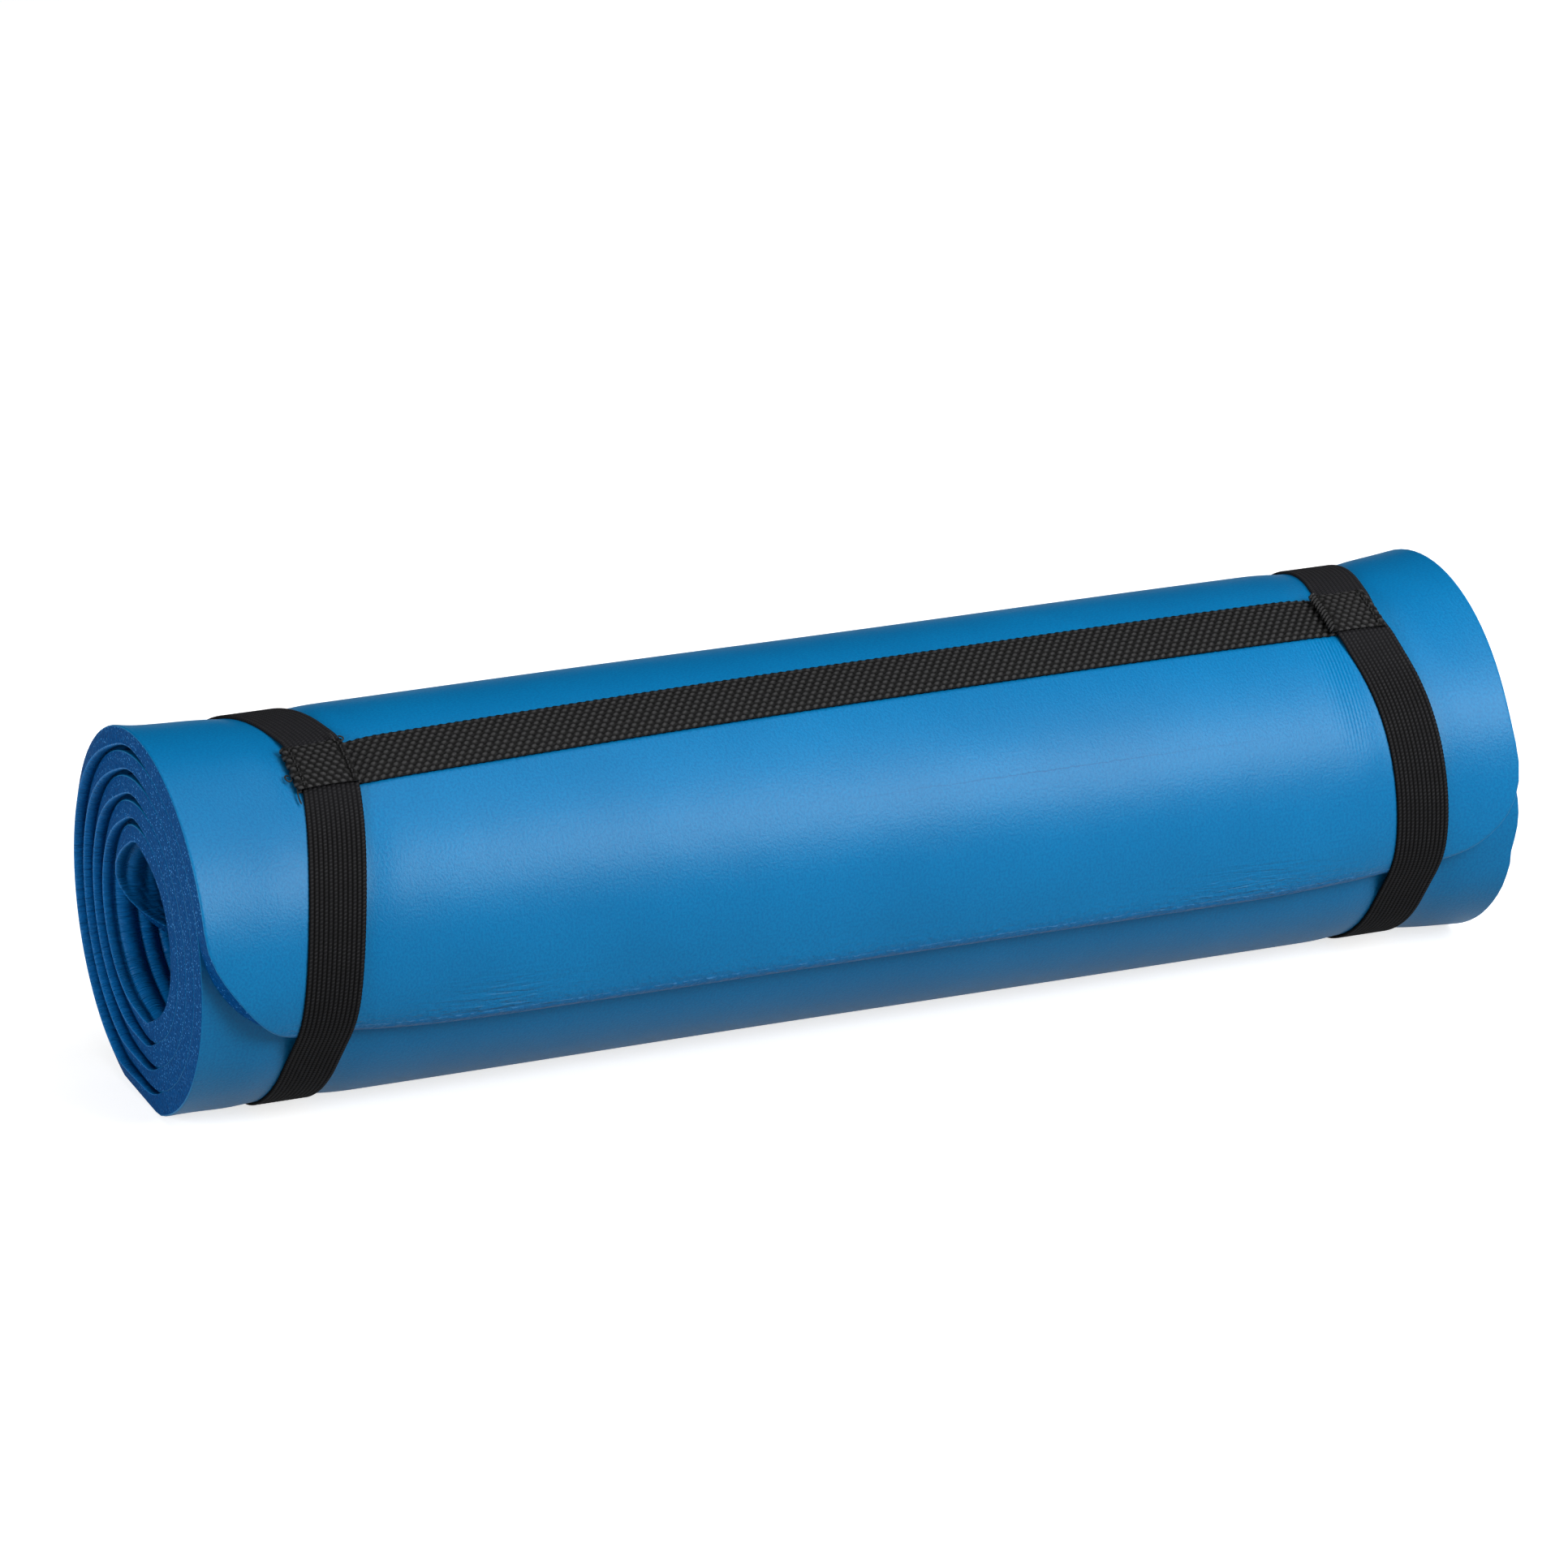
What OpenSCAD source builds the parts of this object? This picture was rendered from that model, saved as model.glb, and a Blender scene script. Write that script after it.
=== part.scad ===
// Rolled foam sleeping pad held by two elastic bands that a carry strap joins.
// The roll lies along X, its free flap opens to the front (-Y), and +Z is up.
// The two bands' flat undersides are at z = 0. Millimetres.

/* [Foam pad] */

// Width of the mat, which is the length of the roll
mat_w = 600; // [500:1:700]

// Thickness of the foam as it lies in the roll
foam_t = 9.6; // [6:0.1:15]

// Radial step from one turn of the roll to the next
turn_pitch = 10; // [8:0.1:18]

// Radius of the outer surface at the free edge of the mat
roll_r = 86.2; // [60:0.1:140]

// Extra half depth of the roll, which makes it a little oval
oval = 2.8; // [0:0.1:12]

// Angle of the outer free edge, from the front, upward positive
outer_edge_deg = -20; // [-45:5:0]

// Whole angle that the mat is rolled through
rolled_deg = 1690; // [720:5:2520]

// Depth that the roll's own weight flattens its underside by
sag = 1.8; // [0.5:0.1:4]

// Radius of the mat's four rounded corners
corner_r = 56; // [10:1:120]

/* [Elastic bands] */

// Width of each elastic band
elastic_w = 25; // [15:0.5:40]

// Thickness of each elastic band
elastic_t = 1.3; // [0.8:0.1:2.5]

// Centre of the left band along the roll, away from the strap
left_band_x = -248; // [-280:0.5:-100]

// Centre of the right band along the roll, away from the strap
right_band_x = 253.5; // [100:0.5:280]

// Distance that the strap pulls the left band towards the middle
left_pull = 16; // [0:0.5:40]

// Distance that the strap pulls the right band towards the middle
right_pull = 10.5; // [0:0.5:40]

// Angle on each side of the strap in which the left band bends out again
left_pull_deg = 80; // [20:1:90]

// Angle on each side of the strap in which the right band bends out again
right_pull_deg = 50; // [20:1:90]

/* [Carry strap] */

// Width of the webbing
webbing_w = 25; // [15:0.5:40]

// Thickness of the webbing
webbing_t = 1.3; // [0.8:0.1:2.5]

// Angle of the strap's middle on the roll, from the front, upward positive
strap_deg = 65; // [20:1:90]

// Distance that the folded end reaches past the band's inner edge
lap_l = 2.5; // [1:0.5:30]

/* [Sewing] */

// Diameter of the sewing thread
thread_d = 0.7; // [0.3:0.05:1.2]

// Number of stitches in one row across the webbing
stitch_count = 9; // [4:1:16]

// Distance from the band's outer edge to the outer stitch row
outer_row_in = 3; // [2:0.5:10]

// Distance from the band's inner edge to the inner stitch row
inner_row_in = 2; // [1:0.5:10]

// Width of the zigzag row at the right band's inner edge
zigzag_w = 2.4; // [0:0.2:5]

/* [Fits] */

// Sliding clearance between the pad and what goes round it
clearance = 0.3; // [0.2:0.05:1]

// Gap between sewn layers
lap_gap = 0.1; // [0.05:0.05:0.4]

/* [Hidden] */

foam_colour = [0.0, 0.43, 0.74];
elastic_colour = [0.12, 0.12, 0.13];
webbing_colour = [0.19, 0.19, 0.2];
thread_colour = [0.16, 0.16, 0.17];

// Angle between two rows of the rolled sheet
row_deg = 5;

// Radius of the outer surface of the roll at the rolled angle q
function outer_r(q) = roll_r - turn_pitch * (q - outer_edge_deg) / 360;

// The underside of the outermost turn is pressed flat at this depth below the axis
flat_z = outer_r(270) - sag;

// Heights and depths that put the roll on its bands and centre its box on Y
axis_z = elastic_t + clearance + flat_z;
axis_y = (outer_r(0) - outer_r(180)) / 2;

// Point [y, z] of a surface at the rolled angle q and the radius r
function roll_point(q, r) = [
  axis_y - (r + oval) * cos(q),
  axis_z + max(r * sin(q), -flat_z)
];

// The rolled angle that a length s of sheet takes near radius r
function sheet_deg(s, r) = s * 180 / PI / (r + oval / 2 - foam_t / 2);

last_edge_deg = outer_edge_deg + rolled_deg;
inner_r = outer_r(last_edge_deg);

// Rows of the sheet: [rolled angle, half width]
corner_rows = 12;

function corner_s(k) = corner_r * (1 - cos(90 * k / corner_rows));
function corner_half(k) = mat_w / 2 - corner_r * (1 - sin(90 * k / corner_rows));

first_rows = [
  for (k = [0 : corner_rows])
    [outer_edge_deg + sheet_deg(corner_s(k), roll_r), corner_half(k)]
];

last_rows = [
  for (k = [corner_rows : -1 : 0])
    [last_edge_deg - sheet_deg(corner_s(k), inner_r), corner_half(k)]
];

first_plain = ceil((first_rows[corner_rows][0] + 1) / row_deg) * row_deg;
last_plain = floor((last_rows[0][0] - 1) / row_deg) * row_deg;

plain_rows = [for (q = [first_plain : row_deg : last_plain]) [q, mat_w / 2]];

sheet_rows = concat(first_rows, plain_rows, last_rows);
row_total = len(sheet_rows);

// Four corners of the sheet's section at one row
function row_ring(row) =
  let (
    out = roll_point(row[0], outer_r(row[0])),
    in = roll_point(row[0], outer_r(row[0]) - foam_t)
  )
  [
    [-row[1], out[0], out[1]],
    [row[1], out[0], out[1]],
    [row[1], in[0], in[1]],
    [-row[1], in[0], in[1]]
  ];

// Outline of the outermost turn, as the bands feel it
turn_outline = [
  for (q = [outer_edge_deg : row_deg : outer_edge_deg + 355])
    roll_point(q, outer_r(q))
];

// Local frame of the strap: middle point, direction across it and outward normal
strap_mid = roll_point(strap_deg, outer_r(strap_deg));
strap_next = roll_point(strap_deg + 1, outer_r(strap_deg + 1));
strap_prev = roll_point(strap_deg - 1, outer_r(strap_deg - 1));
strap_along = (strap_next - strap_prev) / norm(strap_next - strap_prev);
strap_out = [-strap_along[1], strap_along[0]];

// Heights above the pad of the strap's under layer, the band and the top layer
under_n = clearance;
band_n = under_n + webbing_t + lap_gap;
over_n = band_n + elastic_t + lap_gap;

// Half the angle that the strap covers, with a little to spare
strap_half_deg = 10;

// The strap's two edges, where it lifts the band
strap_edges = [
  for (side = [-1, 1])
    strap_mid + strap_along * side * webbing_w / 2 + strap_out * (band_n - clearance)
];

function turn(a, b, c) = (b[0] - a[0]) * (c[1] - a[1]) - (b[1] - a[1]) * (c[0] - a[0]);

// Next point of a tight loop that leaves every point on its left side
function next_point(points, from, best, k) =
  k == len(points) ? best
  : let (
      p = points[k],
      side = turn(from, best, p),
      better = best == from || side < -0.000001
        || (abs(side) <= 0.000001 && norm(p - from) > norm(best - from))
    )
    next_point(points, from, (p != from && better) ? p : best, k + 1);

function tight_loop(points, path) =
  let (found = next_point(points, path[len(path) - 1], path[len(path) - 1], 0))
  found == path[0] || len(path) > 200 ? path
  : tight_loop(points, concat(path, [found]));

// Loop that a taut band takes round the roll and over the strap
front_most = [for (p = turn_outline) if (p[0] == min([for (v = turn_outline) v[0]])) p][0];
taut_loop = tight_loop(concat(turn_outline, strap_edges), [front_most]);

// Outward offset of a convex loop that runs anticlockwise
function grown(loop, by) = [
  for (k = [0 : len(loop) - 1])
    let (
      last = loop[(k + len(loop) - 1) % len(loop)],
      here = loop[k],
      next = loop[(k + 1) % len(loop)],
      d1 = (here - last) / norm(here - last),
      d2 = (next - here) / norm(next - here),
      n1 = [d1[1], -d1[0]],
      n2 = [d2[1], -d2[0]]
    )
    here + (n1 + n2) * by / (1 + n1 * n2)
];

// Middle line of the strap's lengthways section at its right end: [along X, outward]
fold_r = (over_n - under_n) / 2;
arc_steps = 10;

function half_line(edge) = [
  for (k = [0 : arc_steps])
    let (q = -90 + 180 * k / arc_steps)
    [edge + fold_r * cos(q), (under_n + over_n + webbing_t) / 2 + fold_r * sin(q)]
];

function half_path(edge) = concat(
  half_line(edge),
  [
    [edge - elastic_w, over_n + webbing_t / 2],
    [edge - elastic_w - lap_l, over_n + webbing_t / 2 - 0.9]
  ]
);

// Both sides of a path that is offset by half the webbing's thickness
function path_side(path, by) = [
  for (k = [0 : len(path) - 1])
    let (
      a = path[max(k - 1, 0)],
      b = path[k],
      c = path[min(k + 1, len(path) - 1)],
      d1 = b == a ? (c - b) / norm(c - b) : (b - a) / norm(b - a),
      d2 = c == b ? d1 : (c - b) / norm(c - b),
      n1 = [-d1[1], d1[0]],
      n2 = [-d2[1], d2[0]]
    )
    b + (n1 + n2) * by / (1 + n1 * n2)
];

function reversed(list) = [for (k = [len(list) - 1 : -1 : 0]) list[k]];
function mirrored(list) = [for (p = list) [-p[0], p[1]]];

right_edge_x = right_band_x - right_pull + elastic_w / 2;
left_edge_x = left_band_x + left_pull - elastic_w / 2;

strap_path = concat(
  reversed(mirrored(half_path(-left_edge_x))),
  half_path(right_edge_x)
);

strap_section = concat(
  path_side(strap_path, webbing_t / 2),
  reversed(path_side(strap_path, -webbing_t / 2))
);

// Puts a shape drawn in [X, outward] and extruded across the strap onto the roll
module on_strap() {
  multmatrix([
    [1, 0, 0, 0],
    [0, strap_out[0], -strap_along[0], strap_mid[0]],
    [0, strap_out[1], -strap_along[1], strap_mid[1]],
    [0, 0, 0, 1]
  ])
    children();
}

module foam_pad() {
  points = [for (row = sheet_rows) each row_ring(row)];
  sides = [
    for (k = [0 : row_total - 2], j = [0 : 3])
      let (
        a = 4 * k + j,
        b = 4 * k + (j + 1) % 4
      )
      each [[a, b, b + 4], [a, b + 4, a + 4]]
  ];
  end = 4 * (row_total - 1);
  color(foam_colour)
    polyhedron(
      points = points,
      faces = concat(
        sides,
        [[3, 2, 1, 0]],
        [[end, end + 1, end + 2, end + 3]]
      )
    );
}

// Share of the strap's pull that a band feels at the loop point p
function pull_share(p, spread) =
  let (
    q = atan2(p[1] - axis_z, axis_y - p[0]),
    past = max(abs(q - strap_deg) - strap_half_deg, 0)
  )
  past >= spread ? 0 : pow(cos(90 * past / spread), 2);

module elastic_band(rest_x, pull, spread) {
  inner = grown(taut_loop, clearance);
  outer = grown(taut_loop, clearance + elastic_t);
  total = len(taut_loop);
  half = elastic_w / 2;
  points = [
    for (k = [0 : total - 1])
      let (x = rest_x + pull * pull_share(taut_loop[k], spread))
      each [
        [x - half, inner[k][0], inner[k][1]],
        [x + half, inner[k][0], inner[k][1]],
        [x + half, outer[k][0], outer[k][1]],
        [x - half, outer[k][0], outer[k][1]]
      ]
  ];
  faces = [
    for (k = [0 : total - 1], j = [0 : 3])
      let (
        a = 4 * k + j,
        b = 4 * k + (j + 1) % 4,
        c = 4 * ((k + 1) % total) + (j + 1) % 4,
        d = 4 * ((k + 1) % total) + j
      )
      each [[a, b, c], [a, c, d]]
  ];
  color(elastic_colour)
    polyhedron(points = points, faces = faces);
}

module elastic_band_left() {
  elastic_band(left_band_x, left_pull, left_pull_deg);
}

module elastic_band_right() {
  elastic_band(right_band_x, -right_pull, right_pull_deg);
}

module carry_webbing() {
  color(webbing_colour)
    on_strap()
      translate([0, 0, -webbing_w / 2])
        linear_extrude(height = webbing_w)
          polygon(strap_section);
}

// One row of lock stitches across the strap, straight or in a zigzag
module stitch_row(at_x, wide = 0) {
  step = (webbing_w - 3) / stitch_count;
  low_n = under_n + thread_d / 2 + 0.05;
  top_n = over_n + webbing_t;
  holes = [
    for (k = [0 : stitch_count])
      [at_x + (k % 2 == 0 ? -wide : wide) / 2, -webbing_w / 2 + 1.5 + k * step]
  ];
  run_l = norm([wide, step]);
  color(thread_colour)
    on_strap()
      union() {
        for (p = holes)
          translate([p[0], low_n, p[1]])
            rotate([-90, 0, 0])
              cylinder(h = top_n - low_n, d = thread_d, $fn = 10);
        for (k = [0 : stitch_count - 1], n = [low_n, top_n])
          translate([holes[k][0], n, holes[k][1]])
            rotate([0, atan2(holes[k + 1][0] - holes[k][0], step), 0])
              cylinder(h = run_l, d = thread_d, $fn = 10);
      }
}

module stitch_left_outer() {
  stitch_row(left_edge_x + outer_row_in);
}

module stitch_left_inner() {
  stitch_row(left_edge_x + elastic_w - inner_row_in);
}

module stitch_right_inner() {
  stitch_row(right_edge_x - elastic_w + inner_row_in, zigzag_w);
}

module stitch_right_outer() {
  stitch_row(right_edge_x - outer_row_in);
}

foam_pad();
elastic_band_left();
elastic_band_right();
carry_webbing();
stitch_left_outer();
stitch_left_inner();
stitch_right_inner();
stitch_right_outer();
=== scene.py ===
import bpy
import math
import numpy as np
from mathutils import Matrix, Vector
from mathutils.geometry import convex_hull_2d


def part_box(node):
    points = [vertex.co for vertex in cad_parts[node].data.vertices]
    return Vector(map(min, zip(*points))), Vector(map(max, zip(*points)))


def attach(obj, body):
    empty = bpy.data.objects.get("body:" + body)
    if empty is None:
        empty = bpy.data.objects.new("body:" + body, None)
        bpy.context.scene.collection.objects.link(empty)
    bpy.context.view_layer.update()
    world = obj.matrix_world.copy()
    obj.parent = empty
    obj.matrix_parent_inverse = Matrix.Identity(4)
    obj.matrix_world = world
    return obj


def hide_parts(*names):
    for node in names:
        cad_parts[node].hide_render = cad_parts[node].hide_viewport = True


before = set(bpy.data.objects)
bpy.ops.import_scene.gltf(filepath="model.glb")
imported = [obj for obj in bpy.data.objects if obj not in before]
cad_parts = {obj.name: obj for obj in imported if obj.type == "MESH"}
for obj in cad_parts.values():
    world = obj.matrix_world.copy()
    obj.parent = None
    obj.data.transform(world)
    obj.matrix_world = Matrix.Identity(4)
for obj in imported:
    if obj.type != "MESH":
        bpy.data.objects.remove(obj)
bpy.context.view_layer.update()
bpy.ops.object.select_all(action="DESELECT")


# ------------------------------------------------------------------ foam mat
# One sheet of closed-cell foam with a smooth moulded skin on one side and lengthways ribs
# on the other, cut with rounded corners and rolled up tightly with the skin outside. Only
# the two elastics keep it rolled.

foam_thick = 0.0096
turn_step = 0.0100
roll_radius = 0.0862
roll_radius_deg = -20.0
roll_oval = 0.0028
free_edge_deg = -20.6
core_end_deg = 1670.0
mat_half = 0.300
corner_radius = 0.056
rib_pitch = 0.0075
rib_deep = 0.0017
strap_pull_deg = 65

pad_low, pad_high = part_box("foam_pad")
axis_y = (pad_low.y + pad_high.y) / 2 + 0.0025
axis_z = pad_low.z + 0.07634


def smooth(low, high, value):
    """0 below low and 1 above high, with a soft change between them."""
    t = np.clip((np.asarray(value, float) - low) / (high - low), 0, 1)
    return t * t * (3 - 2 * t)


def left_band_middle(angle):
    """Middle line of the left elastic along the roll; the strap pulls it inwards."""
    pulled = np.exp(-((np.abs(angle - strap_pull_deg) / 44.5) ** 1.8))
    drifted = np.exp(-(((angle + 68) / 45) ** 2))
    return -0.2470 + 0.0164 * pulled - 0.0038 * drifted


def right_band_middle(angle):
    """Middle line of the right elastic along the roll."""
    pulled = np.exp(-((np.abs(angle - strap_pull_deg) / 28) ** 1.55))
    return 0.2555 - 0.0105 * pulled


def around(angle):
    """The same angle between -180 and 180 degrees."""
    return (np.asarray(angle, float) + 180) % 360 - 180


def band_squeeze(x, angle):
    """1 where an elastic presses on the foam, falling to 0 a short way beside it."""
    total = 0.0
    for middle in (left_band_middle, right_band_middle):
        beside = np.maximum(np.abs(x - middle(around(angle))) - 0.0115, 0)
        total = total + np.exp(-((beside / 0.0095) ** 2))
    return np.minimum(total, 1)


wave_random = np.random.default_rng(7)
slow_waves = [
    (wave_random.uniform(2, 26), wave_random.uniform(3, 20), wave_random.uniform(0, 6.283))
    for _ in range(14)
]


def slow_unevenness(along, across):
    """Gentle hollows and swells of the hand-rolled sheet, between about -1 and 1."""
    total = np.zeros(np.broadcast(along, across).shape)
    for k, (a, b, phase) in enumerate(slow_waves):
        total += np.sin(a * along * 2 + (b if k % 2 else -b) * across * 1.4 + phase)
    return total / 5


def turns_open(angle):
    """1 on the back of the roll, where the ends bend outwards, and 0 on the front."""
    a = np.asarray(angle, float) % 360
    return smooth(80, 150, a) * (1 - smooth(240, 300, a))


def end_flare(x, angle):
    """How far the free ends of the roll bend outwards, and how steeply at the left end."""
    top = ((1 + np.cos(np.radians(angle - 105))) / 2) ** 1.4
    left = (0.0006 + 0.0012 * top) * np.clip((-x - 0.256) / 0.044, 0, 1.2) ** 2
    right = (0.0012 + 0.0022 * top) * np.clip((x - 0.252) / 0.048, 0, 1.2) ** 1.8
    low = np.exp(-(((angle + 32) / 30) ** 2))
    right = right + 0.0036 * low * np.clip((x - 0.250) / 0.050, 0, 1.2) ** 1.5
    tip = np.clip((-x - 0.283) / 0.017, 0, 1.3)
    curl = turns_open(angle)
    return left + right + 0.0024 * curl * tip**3, 0.424 * curl * tip**2


def spiral_radius(q):
    """Outer radius of the spiral at a rolled angle; each turn is one turn step smaller."""
    return roll_radius - turn_step * (q - roll_radius_deg) / 360


def rolled(q, x, depth, along):
    """Place of points of the sheet in the roll. q is the rolled angle in degrees."""
    turn = (q - free_edge_deg) / 360
    angle = around(q)
    a = np.radians(q)
    open_here = turns_open(q)
    bend, steep = end_flare(x, angle)
    tilt = np.arctan(steep)
    r = spiral_radius(q) - depth * np.cos(tilt)
    over_q = np.where(q % 360 < free_edge_deg + 360, q % 360, q % 360 - 360)
    under = (spiral_radius(over_q) - r) / 0.020
    share = np.exp(-np.clip(under, -0.4, 9))
    # The bands press the foam in, and it bulges out just below the free edge.
    below_lip = (1 - smooth(-34, -12, angle)) * smooth(-112, -72, angle) * (q > 180)
    below_lip = below_lip * (1 - 0.7 * smooth(0.262, 0.298, -x))
    push = 0.00035 + 0.00022 * slow_unevenness(along, x)
    push = push - 0.00105 * band_squeeze(x, angle) + 0.0018 * below_lip
    bend = bend * np.exp(-np.clip(under, 0, 9) * 0.10)
    r = r + push * share + bend
    # The turns draw apart at the ends on the back, and the core end springs inwards.
    end_left = np.clip((-x - 0.215) / 0.085, 0, 1.2) ** 1.6
    end_right = np.clip((x - 0.215) / 0.085, 0, 1.2) ** 1.6
    r = r - 0.0008 * turn * open_here * (end_left + end_right)
    sprung = np.clip((q - (core_end_deg - 130)) / 130, 0, 1) ** 2
    r = r - sprung * (0.0012 + 0.0024 * np.clip((-x - 0.1) / 0.2, 0, 1))
    # Squeezed foam also moves along the roll at its ends.
    x_shift = 0.0006 * turn * open_here * (
        np.clip((-x - 0.16) / 0.14, 0, 1) ** 2 - np.clip((x - 0.16) / 0.14, 0, 1) ** 2
    )
    x_shift = x_shift - depth * np.sin(tilt)
    beside_edge = np.exp(-(((angle + 2) / 17) ** 2))
    x_shift = x_shift + 0.0045 * beside_edge * smooth(0.235, 0.30, x) * share
    second = (q > 180) * (q < 520) * np.exp(-(((angle + 9) / 17) ** 2))
    x_shift = x_shift + 0.0026 * second * smooth(0.235, 0.30, x)
    r = r + 0.0010 * second * smooth(0.255, 0.30, x)
    towards_ends = smooth(0.22, 0.30, x) - 0.7 * smooth(0.25, 0.30, -x)
    x_shift = x_shift + 0.0024 * below_lip * share * towards_ends
    # The weight of the roll presses its underside flat on the floor.
    floor_z = 0.0004 + 0.0010 * band_squeeze(x, angle)
    down = np.maximum(-np.sin(a), 0.15)
    limit = (axis_z - floor_z) / down
    outermost = spiral_radius(over_q) + push + bend
    extra = outermost - limit
    pressed = 0.00025 * np.log1p(np.exp(np.clip(extra / 0.00025, -40, 40)))
    r = r - pressed * np.exp(-np.clip((outermost - r) / 0.016, 0, 9)) * (np.sin(a) < 0)
    y = axis_y - (r + roll_oval) * np.cos(a)
    z = axis_z + r * np.sin(a)
    return np.stack([x + x_shift, y, z], -1)


def edge_steps(distances, full, step):
    """Positions from 0 to full: close together at both ends and step apart between."""
    last = distances[-1]
    inner = np.linspace(last, full - last, int((full - 2 * last) / step) + 2)
    return np.concatenate([distances[:-1], inner, full - np.array(distances[:-1])[::-1]])


fine_q = np.linspace(free_edge_deg, core_end_deg, 6000)
fine_r = spiral_radius(fine_q) + roll_oval / 2 - foam_thick / 2
fine_step = (fine_r[1:] + fine_r[:-1]) / 2 * np.radians(np.diff(fine_q))
fine_s = np.concatenate([[0], np.cumsum(fine_step)])
mat_length = float(fine_s[-1])

edge_rows = [
    0, 0.0001, 0.0003, 0.0006, 0.001, 0.0015, 0.0021, 0.0028, 0.0036, 0.0045, 0.0055, 0.0066,
    0.008, 0.0095, 0.0112, 0.013, 0.015, 0.018, 0.022, 0.027, 0.033, 0.040, 0.048, 0.056,
]
row_s = edge_steps(edge_rows, mat_length, 0.0056)
edge_cols = [0, 0.00015, 0.0004, 0.0009]
step_out = np.concatenate([np.arange(0.0015, 0.0480, 0.00075), np.arange(0.0480, 0.1005, 0.0015)])
step_in = np.linspace(0.1005, 0.4995, 170)[1:-1]
half_cols = np.concatenate([edge_cols, step_out])
col_x = np.concatenate([half_cols, step_in, 2 * mat_half - half_cols[::-1]]) - mat_half
rows, cols = len(row_s), len(col_x)

s_grid = np.repeat(row_s[:, None], cols, 1)
from_end = np.minimum(row_s, mat_length - row_s)
inside = np.clip(corner_radius - from_end, 0, corner_radius)
half_here = mat_half - corner_radius + np.sqrt(corner_radius**2 - inside**2)
flat_part = 0.290
x_grid = np.where(
    np.abs(col_x)[None, :] <= flat_part,
    col_x[None, :] * ((half_here[:, None] - (mat_half - flat_part)) / flat_part),
    np.sign(col_x)[None, :] * (half_here[:, None] - (mat_half - np.abs(col_x)[None, :])),
)
to_end = np.repeat(from_end[:, None], cols, 1)
cx = np.abs(x_grid) - (mat_half - corner_radius)
cs = corner_radius - to_end
in_corner = (cx > 0) & (cs > 0)
to_side = mat_half - np.abs(x_grid)
to_outline = np.where(in_corner, corner_radius - np.hypot(cx, cs), np.minimum(to_end, to_side))
to_outline = np.clip(to_outline, 0, None)
outward = np.maximum(np.hypot(cx, cs), 1e-9)
lip_like = np.where(in_corner, (cs / outward) ** 2, (to_end <= to_side).astype(float))
lip_like = lip_like * (s_grid < 0.1)
round_r = 0.0008 + 0.0037 * lip_like**2 * (1 - 0.8 * smooth(0.235, 0.268, -x_grid))


def rounding(distance, radius, share):
    """Depth that a rounded edge has lost at a distance from the outline."""
    inward = np.clip(1 - distance / radius, 0, 1)
    return radius * share * (1 - np.sqrt(1 - inward**2))


def lip_press(x, s):
    """Depth that the bands press into the free edge, s from the edge of the sheet."""
    near_right = np.exp(-((np.abs(x - 0.2535) / 0.045) ** 2))
    near_left = np.exp(-((np.abs(x + 0.2475) / 0.040) ** 2))
    return 0.0042 * (near_right + near_left) * np.exp(-((s / 0.011) ** 1.5))


q_grid = np.interp(s_grid, fine_s, fine_q)
turn_deg = q_grid % 360
fused = (1 - smooth(74, 104, turn_deg) * (1 - smooth(262, 292, turn_deg))) * (to_end > 0.03)
covered = smooth(300, 345, q_grid) * fused
outer_depth = rounding(to_outline, round_r * (1 - 0.75 * covered), 0.86)
outer_depth = outer_depth + lip_press(x_grid, s_grid)
ribs = np.abs(np.cos(np.pi * x_grid / rib_pitch)) ** 0.75
edge_fade = smooth(0.0006, 0.004, to_outline)
inner_depth = foam_thick - rounding(to_outline, 0.0008 * (1 - 0.75 * fused), 0.8)
inner_depth = inner_depth - rib_deep * (1 - ribs) * edge_fade
inner_depth = inner_depth - 0.15 * rib_deep * (1 - edge_fade) * (1 - fused)
crescent = np.exp(-(((turn_deg - 277) / 9) ** 2)) + np.exp(-(((turn_deg - 96) / 13) ** 2))
crescent_reach = 1 - smooth(0.008, 0.022, to_outline)
inner_depth = inner_depth - 0.0021 * crescent * crescent_reach * (to_end > 0.03)
closed_reach = (1 - smooth(0.004, 0.012, to_outline)) * (q_grid < core_end_deg - 340)
inner_depth = inner_depth + 0.00038 * fused * closed_reach

slant = 0.0036 * in_corner * (x_grid < 0) * (s_grid < 0.06) * np.exp(-to_outline / 0.012)
slant = slant * smooth(0.05, 0.62, cs / outward) * smooth(0.30, 0.80, cx / outward)
s_outer = s_grid + slant * cs / outward
x_outer = x_grid + slant * cx / outward

outer_index = np.arange(rows * cols).reshape(rows, cols)
inner_index = outer_index + rows * cols


def rim(index):
    """The outline of a grid of points, once round."""
    return np.concatenate([index[0, :-1], index[:-1, -1], index[-1, :0:-1], index[:0:-1, 0]])


rim_out, rim_in = rim(outer_index), rim(inner_index)
flat_s = np.concatenate([s_outer.ravel(), s_grid.ravel()])
flat_x = np.concatenate([x_outer.ravel(), x_grid.ravel()])
flat_d = np.concatenate([outer_depth.ravel(), inner_depth.ravel()])
rim_rings = 6
all_s, all_x, all_d = [flat_s], [flat_x], [flat_d]
ring_index = [rim_out]
for k in range(1, rim_rings + 1):
    t = k / (rim_rings + 1)
    all_s.append(flat_s[rim_out] * (1 - t) + flat_s[rim_in] * t)
    all_x.append(flat_x[rim_out] * (1 - t) + flat_x[rim_in] * t)
    all_d.append(flat_d[rim_out] * (1 - t) + flat_d[rim_in] * t)
    ring_index.append(np.arange(len(rim_out)) + 2 * rows * cols + (k - 1) * len(rim_out))
ring_index.append(rim_in)
all_s, all_x, all_d = np.concatenate(all_s), np.concatenate(all_x), np.concatenate(all_d)
all_q = np.interp(all_s, fine_s, fine_q)
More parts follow.
